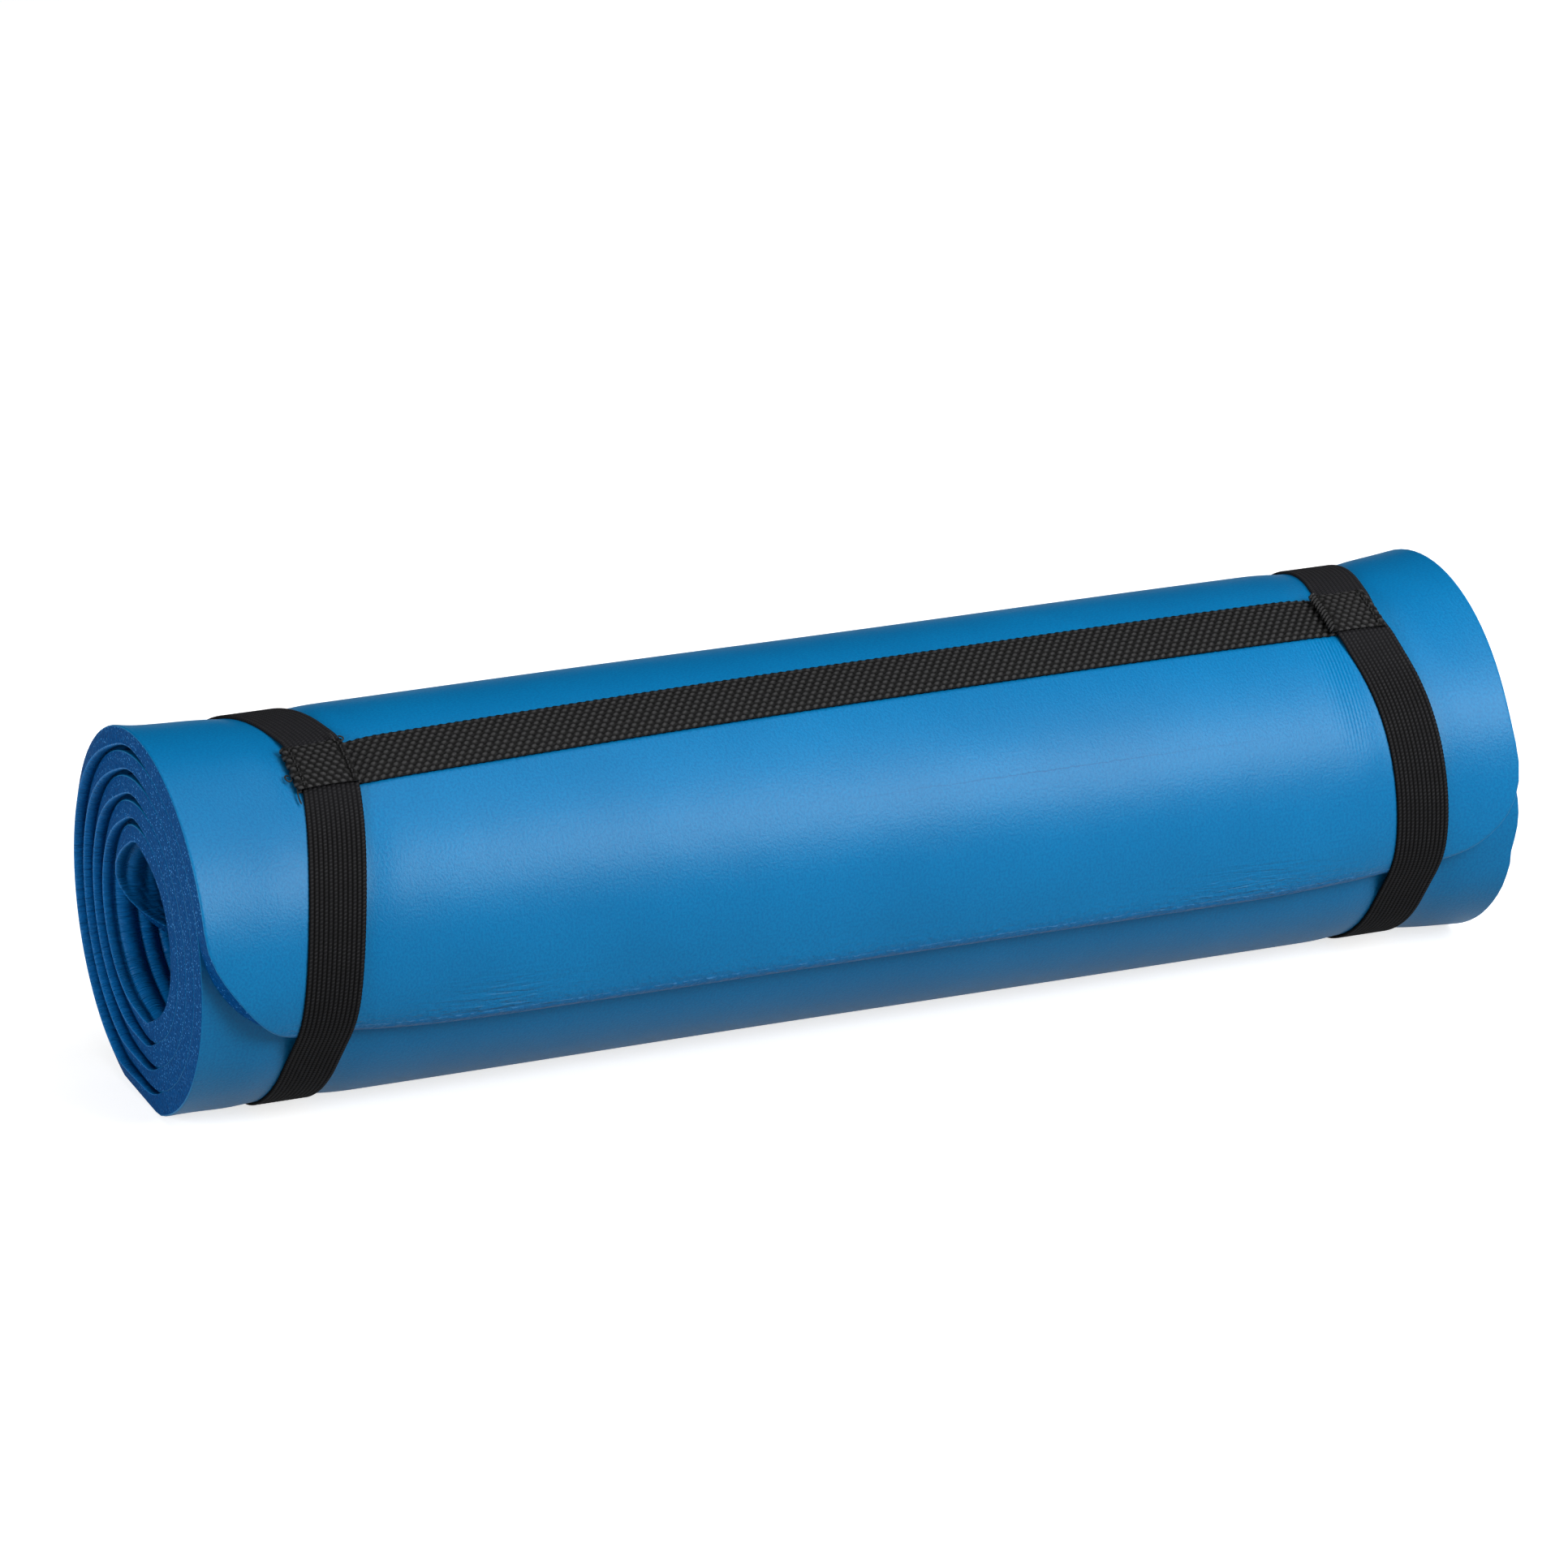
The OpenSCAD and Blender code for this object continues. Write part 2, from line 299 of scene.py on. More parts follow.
mat_points = rolled(all_q, all_x, all_d, all_s)


def quads(index):
    """Faces between the neighbouring points of a grid."""
    corners = [index[:-1, :-1], index[:-1, 1:], index[1:, 1:], index[1:, :-1]]
    return np.stack(corners, -1).reshape(-1, 4)


rim_faces = []
for a, b in zip(ring_index[:-1], ring_index[1:]):
    a2, b2 = np.roll(a, -1), np.roll(b, -1)
    rim_faces.append(np.stack([a, b, b2, a2], -1))
rim_faces = np.concatenate(rim_faces)
skin_faces = quads(outer_index)
rib_faces = quads(inner_index)[:, ::-1]
mat_faces = np.concatenate([skin_faces, rib_faces, rim_faces])
mat_slots = np.repeat([0, 1, 2], [len(skin_faces), len(rib_faces), len(rim_faces)])


def new_piece(name, points, faces, uv, slots=None):
    """A mesh object from points, quads and one UV place for each point, in metres."""
    mesh = bpy.data.meshes.new(name)
    mesh.vertices.add(len(points))
    mesh.vertices.foreach_set("co", np.asarray(points, np.float32).ravel())
    mesh.loops.add(faces.size)
    mesh.loops.foreach_set("vertex_index", faces.ravel().astype(np.int32))
    mesh.polygons.add(len(faces))
    mesh.polygons.foreach_set("loop_start", np.arange(0, faces.size, 4, dtype=np.int32))
    if slots is not None:
        mesh.polygons.foreach_set("material_index", slots.astype(np.int32))
    mesh.update(calc_edges=True)
    layer = mesh.uv_layers.new(name="Sheet")
    layer.data.foreach_set("uv", np.asarray(uv, np.float32)[faces.ravel()].ravel())
    mesh.polygons.foreach_set("use_smooth", np.ones(len(faces), bool))
    mesh.validate()
    piece = bpy.data.objects.new(name, mesh)
    bpy.context.scene.collection.objects.link(piece)
    return piece


mat_uv = np.stack([all_s, all_x], -1)
foam_mat = new_piece("foam_mat", mat_points, mat_faces, mat_uv, mat_slots)


def start_material(name, **values):
    """A new node material. Returns it, its tree and its surface shader."""
    material = bpy.data.materials.new(name)
    material.use_nodes = True
    shader = material.node_tree.nodes["Principled BSDF"]
    for key, value in values.items():
        shader.inputs[key.replace("_", " ")].default_value = value
    return material, material.node_tree, shader


def add(tree, kind, at=(0, 0), links=None, **values):
    """A shader node with its properties set and its inputs linked or filled."""
    made = tree.nodes.new("ShaderNode" + kind)
    made.location = at
    for key, value in values.items():
        setattr(made, key, value)
    for key, value in (links or {}).items():
        if isinstance(value, bpy.types.NodeSocket):
            tree.links.new(value, made.inputs[key])
        else:
            made.inputs[key].default_value = value
    return made


def ramp(tree, source, stops, at=(0, 0)):
    """A colour ramp with the given (place, colour) stops."""
    made = add(tree, "ValToRGB", at, {"Fac": source})
    elements = made.color_ramp.elements
    while len(elements) < len(stops):
        elements.new(0.5)
    for element, (place, colour) in zip(elements, stops):
        element.position = place
        element.color = (*colour, 1) if len(colour) == 3 else colour
    return made.outputs["Color"]


def mixed(tree, factor, first, second, blend="MIX", at=(0, 0)):
    """Two colours mixed by a factor."""
    made = add(tree, "Mix", at, data_type="RGBA", blend_type=blend)
    for socket, value in ((made.inputs[0], factor), (made.inputs[6], first), (made.inputs[7], second)):
        if isinstance(value, bpy.types.NodeSocket):
            tree.links.new(value, socket)
        else:
            socket.default_value = value if not isinstance(value, tuple) else (*value, 1)
    return made.outputs[2]


def maths(tree, operation, first, second=None, third=None, at=(0, 0), clamp=False):
    """One sum, product or other step on numbers."""
    made = add(tree, "Math", at, operation=operation, use_clamp=clamp)
    for k, value in enumerate((first, second, third)):
        if isinstance(value, bpy.types.NodeSocket):
            tree.links.new(value, made.inputs[k])
        elif value is not None:
            made.inputs[k].default_value = value
    return made.outputs[0]


def peak(tree, offset, slope):
    """1 where the offset is 0, falling to 0 on both sides at the given slope."""
    distance = maths(tree, "ABSOLUTE", offset)
    return maths(tree, "SUBTRACT", 1.0, maths(tree, "MULTIPLY", distance, slope), clamp=True)


def sheet_place(tree, scale_along, scale_across, at=(-1200, 0), rotate=0.0):
    """UV place in metres, scaled for a texture."""
    uv = add(tree, "UVMap", at, uv_map="Sheet")
    return add(
        tree, "Mapping", (at[0] + 180, at[1]),
        {"Vector": uv.outputs["UV"], "Scale": (scale_along, scale_across, 1), "Rotation": (0, 0, rotate)},
    ).outputs["Vector"]


def bumps(tree, heights, at=(-400, -300)):
    """A chain of bump nodes from (height, strength, distance) entries."""
    normal = None
    for k, (height, strength, distance) in enumerate(heights):
        links = {"Height": height, "Strength": strength, "Distance": distance}
        if normal is not None:
            links["Normal"] = normal
        normal = add(tree, "Bump", (at[0] + 180 * k, at[1] - 160 * k), links).outputs["Normal"]
    return normal


# The skin: matt blue with a fine pebble grain, shallow dimples and slight cloudiness. Near
# the free edge it has painted shade along the strip where it turns under, a worn crack and fan-like
# wrinkles.
skin, tree, shader = start_material("foam_skin", Roughness=0.40)
shader.inputs["Specular IOR Level"].default_value = 0.29
place = sheet_place(tree, 1, 1)
cloud = add(tree, "TexNoise", (-900, 200), {"Vector": place, "Scale": 14, "Detail": 3})
grain = add(tree, "TexNoise", (-900, 0), {"Vector": place, "Scale": 900, "Detail": 2, "Roughness": 0.6})
pits = add(tree, "TexVoronoi", (-900, -200), {"Vector": place, "Scale": 160}, feature="F1")
skin_blues = [(0.3, (0.000, 0.191, 0.405)), (0.7, (0.000, 0.218, 0.455))]
colour = ramp(tree, cloud.outputs["Fac"], skin_blues, (-600, 200))
speck_greys = [(0.40, (0.05, 0.05, 0.05)), (0.62, (0.42, 0.42, 0.42))]
speck = ramp(tree, grain.outputs["Fac"], speck_greys, (-600, 0))
colour = mixed(tree, speck, colour, (0.0, 0.115, 0.31), at=(-300, 200))
pit = ramp(tree, pits.outputs["Distance"], [(0.0, (0, 0, 0)), (0.12, (1, 1, 1))], (-600, -200))
split = add(tree, "SeparateXYZ", (-1000, -500), {"Vector": place})
from_lip, along_roll = split.outputs["X"], split.outputs["Y"]
lip_place = sheet_place(tree, 420, 240, (-1200, -700))
lip_noise = add(tree, "TexNoise", (-900, -700), {"Vector": lip_place, "Scale": 1, "Detail": 3})
lip_stops = [(0.0, (1, 1, 1)), (0.0065, (1, 1, 1)), (0.0150, (0, 0, 0))]
near_lip = ramp(tree, from_lip, lip_stops, (-700, -600))
from_crack = maths(tree, "SUBTRACT", from_lip, 0.0068)
crack_at = maths(tree, "MULTIPLY_ADD", lip_noise.outputs["Fac"], 0.0030, from_crack)
crack = peak(tree, crack_at, 2600.0)
rough_lip = maths(tree, "MULTIPLY", near_lip, lip_noise.outputs["Fac"])
fan_place = sheet_place(tree, 560, 60, (-1200, -900), 0.03)
fan_inputs = {"Vector": fan_place, "Scale": 1, "Detail": 2, "Distortion": 0.6}
fan = add(tree, "TexNoise", (-900, -900), fan_inputs)
fan_stops = [(0.0, (1, 1, 1)), (0.010, (1, 1, 1)), (0.026, (0, 0, 0))]
fan_reach = ramp(tree, from_lip, fan_stops, (-700, -900))
from_middle = maths(tree, "ABSOLUTE", along_roll)
fan_here = peak(tree, maths(tree, "SUBTRACT", from_middle, 0.172), 17.0)
fan_height = maths(tree, "MULTIPLY", fan.outputs["Fac"], fan_reach)
fan_height = maths(tree, "MULTIPLY", fan_height, fan_here)
wave_phase = maths(tree, "MULTIPLY", along_roll, 3700.0)
wobble = maths(tree, "MULTIPLY_ADD", cloud.outputs["Fac"], 6.0, wave_phase)
waves = maths(tree, "SINE", wobble)
wave_x = peak(tree, maths(tree, "SUBTRACT", along_roll, 0.226), 90.0)
wave_s = peak(tree, maths(tree, "SUBTRACT", from_lip, 0.095), 22.0)
wave_height = maths(tree, "MULTIPLY", maths(tree, "MULTIPLY", waves, wave_x), wave_s)
# Painted shade: the skin is darkened in a strip along the free edge, where it turns under into shadow.
lip_shade_stops = [
    (0.0, (1, 1, 1)), (0.0032, (0.8, 0.8, 0.8)), (0.0052, (0.1, 0.1, 0.1)), (0.012, (0, 0, 0)),
]
lip_shade = ramp(tree, from_lip, lip_shade_stops, (-700, -400))
colour = mixed(tree, maths(tree, "MULTIPLY", lip_shade, 0.75), colour, (0.0, 0.085, 0.25), at=(-150, 300))
worn_stops = [(0.42, (0, 0, 0)), (0.60, (1, 1, 1))]
crack_worn = ramp(tree, lip_noise.outputs["Fac"], worn_stops, (-700, -750))
crack = maths(tree, "MULTIPLY", crack, crack_worn)
colour = mixed(tree, maths(tree, "MULTIPLY", crack, 0.40), colour, (0.20, 0.46, 0.78), at=(0, 300))
# Painted shade: a thin darker line along a faint crease in the skin, in colour only.
from_crease = maths(tree, "SUBTRACT", from_lip, 0.0730)
crease_at = maths(tree, "MULTIPLY_ADD", lip_noise.outputs["Fac"], 0.0020, from_crease)
crease_x = peak(tree, maths(tree, "SUBTRACT", along_roll, 0.085), 8.0)
crease_shade = maths(tree, "MULTIPLY", peak(tree, crease_at, 2400.0), crease_x)
colour = mixed(tree, maths(tree, "MULTIPLY", crease_shade, 0.65), colour, (0.0, 0.10, 0.26), at=(150, 300))
tree.links.new(colour, shader.inputs["Base Color"])
normal = bumps(tree, [
    (cloud.outputs["Fac"], 0.25, 0.004),
    (grain.outputs["Fac"], 0.35, 0.0004),
    (pit, 0.2, 0.0002),
    (rough_lip, 0.9, 0.0012),
    (fan_height, 1.0, 0.0016),
    (wave_height, 0.5, 0.0002),
])
tree.links.new(normal, shader.inputs["Normal"])
foam_mat.data.materials.append(skin)

# The ribbed side: the same skin, crinkled across the ribs where the roll squeezes it.
ribbed, tree, shader = start_material("foam_ribbed_side", Roughness=0.42)
shader.inputs["Specular IOR Level"].default_value = 0.25
place = sheet_place(tree, 1, 1)
crinkle_place = sheet_place(tree, 760, 105, (-1200, -300))
crinkle_inputs = {"Vector": crinkle_place, "Scale": 1.0, "Detail": 2, "Distortion": 0.25}
crinkle = add(tree, "TexNoise", (-900, -300), crinkle_inputs)
cloud = add(tree, "TexNoise", (-900, 200), {"Vector": place, "Scale": 30, "Detail": 3})
ribbed_blues = [(0.3, (0.000, 0.150, 0.40)), (0.7, (0.000, 0.185, 0.48))]
colour = ramp(tree, cloud.outputs["Fac"], ribbed_blues, (-600, 200))
tree.links.new(colour, shader.inputs["Base Color"])
tree.links.new(bumps(tree, [(crinkle.outputs["Fac"], 1.0, 0.0017)]), shader.inputs["Normal"])
foam_mat.data.materials.append(ribbed)

# The cut edge: open foam cells, some of which catch the light.
cut, tree, shader = start_material("foam_cut_edge", Roughness=0.62)
shader.inputs["Specular IOR Level"].default_value = 0.06
coords = add(tree, "TexCoord", (-1200, 0))
at_object = coords.outputs["Object"]
cells = add(tree, "TexVoronoi", (-900, 0), {"Vector": at_object, "Scale": 900}, feature="F1")
clumps = add(tree, "TexNoise", (-900, 250), {"Vector": at_object, "Scale": 700, "Detail": 2})
pick = add(tree, "SeparateColor", (-750, -100), {"Color": cells.outputs["Color"]})
lit = ramp(tree, pick.outputs["Red"], [(0.62, (0, 0, 0)), (0.95, (1, 1, 1))], (-600, -50))
spot = ramp(tree, cells.outputs["Distance"], [(0.12, (1, 1, 1)), (0.40, (0, 0, 0))], (-600, -250))
sparkle = maths(tree, "MULTIPLY", lit, spot, at=(-400, -100))
cut_blues = [(0.3, (0.000, 0.060, 0.200)), (0.75, (0.000, 0.105, 0.310))]
colour = ramp(tree, clumps.outputs["Fac"], cut_blues, (-600, 250))
colour = mixed(tree, sparkle, colour, (0.12, 0.42, 0.85), at=(-300, 150))
tree.links.new(colour, shader.inputs["Base Color"])
normal = bumps(tree, [
    (cells.outputs["Distance"], 0.7, 0.0005),
    (clumps.outputs["Fac"], 0.5, 0.0006),
])
tree.links.new(normal, shader.inputs["Normal"])
foam_mat.data.materials.append(cut)

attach(foam_mat, "pad")
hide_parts("foam_pad")


# --------------------------------------------------------------- elastic bands
# Two loops of flat ribbed elastic, knitted over rubber threads. They are stretched round
# the roll, so they run straight from the mat's free edge down to the turn below it.

elastic_wide = 0.0245
elastic_base = 0.0008
rib_rise = 0.0005
rib_count = 12
edge_nick = 0.006


def roll_surface(x, angle):
    """Outside of the roll at x and at an angle between -180 and 180 degrees."""
    q = np.where(angle < free_edge_deg, angle + 360, angle)
    s = np.interp(q, fine_q, fine_s)
    return rolled(q, x, lip_press(x, s), s)


def taut_path(middle, step):
    """Closed line that a stretched band takes round the roll, evenly spaced."""
    angle = np.arange(-180, 180, 1.5)
    x = middle(angle)
    place = roll_surface(x, angle)
    out = np.stack([-np.cos(np.radians(angle)), np.sin(np.radians(angle))], -1)
    lift = 0.0013 * (1 - smooth(8.5, 12.5, np.abs(angle - 65.6)))
    flat = place[:, 1:] + out * (0.0001 + lift)[:, None]
    hull = convex_hull_2d([Vector(p) for p in flat])
    loop = flat[hull]
    closed = np.vstack([loop, loop[:1]])
    length = np.concatenate([[0], np.cumsum(np.linalg.norm(np.diff(closed, axis=0), axis=1))])
    count = int(length[-1] / step)
    at = np.arange(count) * length[-1] / count
    line = np.stack([np.interp(at, length, closed[:, k]) for k in (0, 1)], -1)
    width = 7
    kernel = np.hanning(2 * width + 1)
    kernel /= kernel.sum()
    padded = np.vstack([line[-width:], line, line[:width]])
    line = np.stack([np.convolve(padded[:, k], kernel, "valid") for k in (0, 1)], -1)
    turned = np.degrees(np.arctan2(line[:, 1] - axis_z, axis_y - line[:, 0]))
    return np.column_stack([middle(turned), line]), turned


def elastic_loop(name, middle):
    """One elastic band as a ribbed flat tube swept round the roll."""
    line, turned = taut_path(middle, 0.0009)
    count = len(line)
    ahead = np.roll(line, -1, 0) - np.roll(line, 1, 0)
    ahead = ahead / np.linalg.norm(ahead, axis=1)[:, None]
    flat_dir = ahead * [0, 1, 1]
    flat_dir /= np.linalg.norm(flat_dir, axis=1)[:, None]
    out = np.stack([np.zeros(count), flat_dir[:, 2], -flat_dir[:, 1]], -1)
    centre = np.array([0, axis_y, axis_z])
    if np.mean(np.sum(out * (line - centre), 1)) < 0:
        out = -out
    side = np.cross(ahead, out)
    side *= np.sign(side[:, :1])
    v = np.linspace(-0.5, 0.5, rib_count * 6 + 1)
    relief = rib_rise * np.abs(np.sin(np.pi * (v + 0.5) * rib_count)) ** 0.6
    top = np.column_stack([v * elastic_wide, elastic_base + relief])
    bottom = np.column_stack([np.linspace(0.5, -0.5, 13) * elastic_wide, np.zeros(13)])
    section = np.vstack([top, bottom])
    in_or_out = np.where(np.arange(count) % 2, 1.0, -1.0)
    at_edge = np.zeros(len(section))
    at_edge[[0, len(v) - 1, len(v), len(section) - 1]] = 1
    wide = section[None, :, 0] * (1 + edge_nick * in_or_out[:, None] * at_edge[None, :])
    points = line[:, None, :] + side[:, None, :] * wide[..., None]
    points = points + out[:, None, :] * section[None, :, 1, None]
    round_count = len(section)
    index = np.arange(count * round_count).reshape(count, round_count)
    ring = np.vstack([index, index[:1]])
    ring = np.hstack([ring, ring[:, :1]])
    faces = quads(ring)
    length = np.concatenate([[0], np.cumsum(np.linalg.norm(np.diff(line, axis=0), axis=1))])
    uv_along = np.repeat(length[:, None], round_count, 1)
    uv_across = np.repeat(section[None, :, 0], count, 0)
    uv = np.stack([uv_along, uv_across], -1).reshape(-1, 2)
    return new_piece(name, points.reshape(-1, 3), faces, uv)


elastic, tree, shader = start_material("ribbed_elastic", Roughness=0.75)
shader.inputs["Specular IOR Level"].default_value = 0.14
place = sheet_place(tree, 1, 1)
split = add(tree, "SeparateXYZ", (-1000, -250), {"Vector": place})
along, across = split.outputs["X"], split.outputs["Y"]
rib_phase = maths(tree, "MULTIPLY", across, math.pi * rib_count / elastic_wide)
rib = maths(tree, "ABSOLUTE", maths(tree, "SINE", rib_phase))
# Painted highlight: short light dashes along the rib tops of the knit, broken up by a noise.
which = maths(tree, "FLOOR", maths(tree, "MULTIPLY", across, rib_count / elastic_wide))
lean = maths(tree, "MULTIPLY_ADD", which, 2.4, maths(tree, "MULTIPLY", along, 3927.0))
lean = maths(tree, "MULTIPLY_ADD", across, 1300.0, lean)
dash = maths(tree, "MULTIPLY_ADD", maths(tree, "SINE", lean), 0.5, 0.5)
glint = maths(tree, "MULTIPLY", maths(tree, "POWER", dash, 3.0), maths(tree, "POWER", rib, 2.0))
fuzz = add(tree, "TexNoise", (-900, 250), {"Vector": place, "Scale": 1800, "Detail": 3})
glint_breakup = add(tree, "TexNoise", (-900, 450), {"Vector": place, "Scale": 120, "Detail": 2})
# Painted shade: the black is darker down in the grooves between the ribs and lighter on their tops.
groove_shade_blacks = [(0.30, (0.0014, 0.0014, 0.0017)), (0.85, (0.0150, 0.0150, 0.0165))]
colour = ramp(tree, rib, groove_shade_blacks, (-600, 250))
glint = maths(tree, "MULTIPLY", glint, glint_breakup.outputs["Fac"])
# The elastic is painted a lighter grey above a set height on the roll, from height alone.
coords = add(tree, "TexCoord", (-1200, 600))
height = add(tree, "SeparateXYZ", (-1000, 600), {"Vector": coords.outputs["Object"]}).outputs["Z"]
greyer_high_up = maths(tree, "MULTIPLY_ADD", height, 30.0, -3.95, clamp=True)
colour = mixed(tree, maths(tree, "MULTIPLY", greyer_high_up, 0.75), colour, (0.025, 0.025, 0.029), at=(-400, 300))
colour = mixed(tree, glint, colour, (0.058, 0.058, 0.061), at=(-300, 200))
tree.links.new(colour, shader.inputs["Base Color"])
normal = bumps(tree, [(rib, 0.6, 0.0005), (dash, 0.6, 0.0003), (fuzz.outputs["Fac"], 0.4, 0.0003)])
tree.links.new(normal, shader.inputs["Normal"])

for side_name, middle in (("left", left_band_middle), ("right", right_band_middle)):
    band = elastic_loop("elastic_loop_" + side_name, middle)
    band.data.materials.append(elastic)
    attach(band, "sling")
    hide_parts("elastic_band_" + side_name)


# ---------------------------------------------------------------- carry strap
# One length of heavy black webbing along the roll. Each end goes under its band, turns
# back over it and is sewn down.

webbing_wide = 0.0253
webbing_thick = 0.0013
yarn_along, yarn_across = 0.0037, 0.00253
left_fold, left_cut = -0.2464, -0.2192
right_fold, right_cut = 0.2566, 0.2302

mid_low, mid_high = 0.0008, 0.0035
fold_r = (mid_high - mid_low) / 2
fold_centre = (mid_low + mid_high) / 2
left_arc, right_arc = [], []
for fold_turn in np.radians(np.linspace(-90, 90, 13)):
    sideways, upwards = fold_r * math.cos(fold_turn), fold_r * math.sin(fold_turn)
    left_arc.append((left_fold + fold_r - sideways, fold_centre - upwards))
    right_arc.append((right_fold - fold_r + sideways, fold_centre + upwards))
strap_line = np.array(
    [(left_cut, mid_high - 0.0006), (left_cut - 0.003, mid_high - 0.0001), (left_cut - 0.006, mid_high)]
    + left_arc
    + [(-0.12, 0.00085), (0.0, 0.0009), (0.12, 0.00085)]
    + right_arc
    + [(right_cut + 0.006, mid_high), (right_cut + 0.003, mid_high - 0.0001), (right_cut, mid_high - 0.0006)]
)
strap_length = np.concatenate([[0], np.cumsum(np.linalg.norm(np.diff(strap_line, axis=0), axis=1))])
tab_length, tab_step, middle_step = 0.058, 0.00045, 0.00074
strap_at = np.concatenate([
    np.arange(0, tab_length, tab_step),
    np.arange(tab_length, strap_length[-1] - tab_length, middle_step),
    np.arange(strap_length[-1] - tab_length, strap_length[-1], tab_step),
])
strap_xn = np.stack([np.interp(strap_at, strap_length, strap_line[:, k]) for k in (0, 1)], -1)
ahead = np.gradient(strap_xn, axis=0)
ahead /= np.linalg.norm(ahead, axis=1)[:, None]
strap_up = np.stack([-ahead[:, 1], ahead[:, 0]], -1)


def weave_relief(along, across):
    """Height of the woven yarns, between 0 and 1: slanting oval floats in staggered rows."""
    high = np.zeros(np.broadcast(along, across).shape)
    row = np.floor(across / yarn_across)
    for step in (-1, 0, 1):
        this = row + step
        beside = across - (this + 0.5) * yarn_across
        place = along / yarn_along + 0.5 * (this % 2)
        for push in (-1, 0, 1):
            ahead_of = (place - np.floor(place) - 0.5 + push) * yarn_along
            u = ahead_of * 0.914 + beside * 0.406
            w = -ahead_of * 0.406 + beside * 0.914
            dome = 1 - (u / (0.52 * yarn_along)) ** 2 - (w / (0.50 * yarn_across)) ** 2
            high = np.maximum(high, np.sqrt(np.clip(dome, 0, 1)))
    return high


def strap_middle_angle(x):
    """Angle of the strap's middle on the roll."""
    return 67.8 - 33 * (x - 0.14) ** 2


def strap_half_width(x):
    """The webbing is drawn in a little where it is sewn."""
    near = np.exp(-(((x + 0.235) / 0.016) ** 2)) + np.exp(-(((x - 0.243) / 0.016) ** 2))
    return webbing_wide / 2 - 0.0009 * near


def strap_place(x, height, across):
    """Point above the roll: x along it, height outwards and across the strap."""
    angle = strap_middle_angle(x) + np.degrees(across / 0.0860)
    base = roll_surface(x, angle)
    out = np.stack([np.zeros_like(x), -np.cos(np.radians(angle)), np.sin(np.radians(angle))], -1)
    return base + out * height[..., None]


points_wide = 56
one_side = np.linspace(-1, 1, points_wide)
section_v = np.concatenate([one_side, one_side[::-1]])
is_top = np.repeat([1.0, -1.0], points_wide)
half_wide = strap_half_width(strap_xn[:, 0])[:, None]
across = section_v[None, :] * half_wide
along = np.repeat(strap_at[:, None], len(section_v), 1)
relief = weave_relief(along, across)
sewn_lines = [
    (left_cut - 0.0026, 0.85, 0.0011), (left_fold + 0.0030, 0.5, 0.0008),
    (right_cut + 0.0008, 1.0, 0.0026), (right_fold - 0.0030, 0.6, 0.0008),
]
# The sewn rows press grooves into the weave; the same lowered height also paints them darker as shade.
for row_x, deep, wide in sewn_lines:
    off_row = (strap_xn[:, :1] - row_x + 0.0003 * np.sin(across * 1900)) / wide
    relief = relief * (1 - deep * np.exp(-(off_row**2)) * (strap_xn[:, 1:] > 0.0024))
rounded = np.sqrt(np.clip(1 - (np.abs(section_v[None, :]) ** 14), 0, 1))
height = is_top[None, :] * (webbing_thick / 2 * rounded + 0.0009 * (relief - 0.75))
spot = strap_xn[:, None, :] + strap_up[:, None, :] * height[..., None]
strap_points = strap_place(spot[..., 0], spot[..., 1], across)
strap_index = np.arange(relief.size).reshape(relief.shape)
strap_faces = quads(np.hstack([strap_index, strap_index[:, :1]]))
strap_uv = np.stack([along, across], -1).reshape(-1, 2)
carry_strap = new_piece("carry_strap", strap_points.reshape(-1, 3), strap_faces, strap_uv)
# The weave height is kept as an attribute to paint shade into the webbing's colour.
yarn_height = carry_strap.data.attributes.new("WeaveShade", "FLOAT", "POINT")
yarn_height.data.foreach_set("value", relief.astype(np.float32).ravel())

webbing, tree, shader = start_material("black_webbing", Roughness=0.6)
shader.inputs["Specular IOR Level"].default_value = 0.3
place = sheet_place(tree, 1, 1)
fuzz = add(tree, "TexNoise", (-900, 250), {"Vector": place, "Scale": 1500, "Detail": 3})
weave_shade = add(tree, "Attribute", (-900, 450), attribute_name="WeaveShade")
# Painted shade: the webbing is darker down between the yarns and in the sewn grooves, and lighter on the
# yarn tops.
colour = ramp(tree, weave_shade.outputs["Fac"], [
    (0.25, (0.0008, 0.0008, 0.0009)), (0.62, (0.0095, 0.0095, 0.0099)), (0.97, (0.066, 0.066, 0.068)),
], (-600, 350))
strand_place = sheet_place(tree, 1400, 3800, (-1200, 100), 0.42)
strands = add(tree, "TexNoise", (-900, 100), {"Vector": strand_place, "Scale": 1, "Detail": 1})
shade = ramp(tree, strands.outputs["Fac"], [(0.3, (0.55, 0.55, 0.55)), (0.7, (1, 1, 1))], (-600, 100))
colour = mixed(tree, 1.0, colour, shade, "MULTIPLY", at=(-300, 200))
tree.links.new(colour, shader.inputs["Base Color"])
normal = bumps(tree, [(strands.outputs["Fac"], 0.6, 0.0003), (fuzz.outputs["Fac"], 0.4, 0.0003)])
tree.links.new(normal, shader.inputs["Normal"])
carry_strap.data.materials.append(webbing)
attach(carry_strap, "sling")
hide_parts("carry_webbing")


# --------------------------------------------------------------- sewing thread
# Black thread sewn by machine through both layers of each fold: a straight row beside each
# fold, a straight row at the left cut end and a dense zigzag bar over the right cut end.
# Both rows on the left end in loose tails.

thread_radius = 0.00036
bar_thread_radius = 0.00066
thread_sides = 6


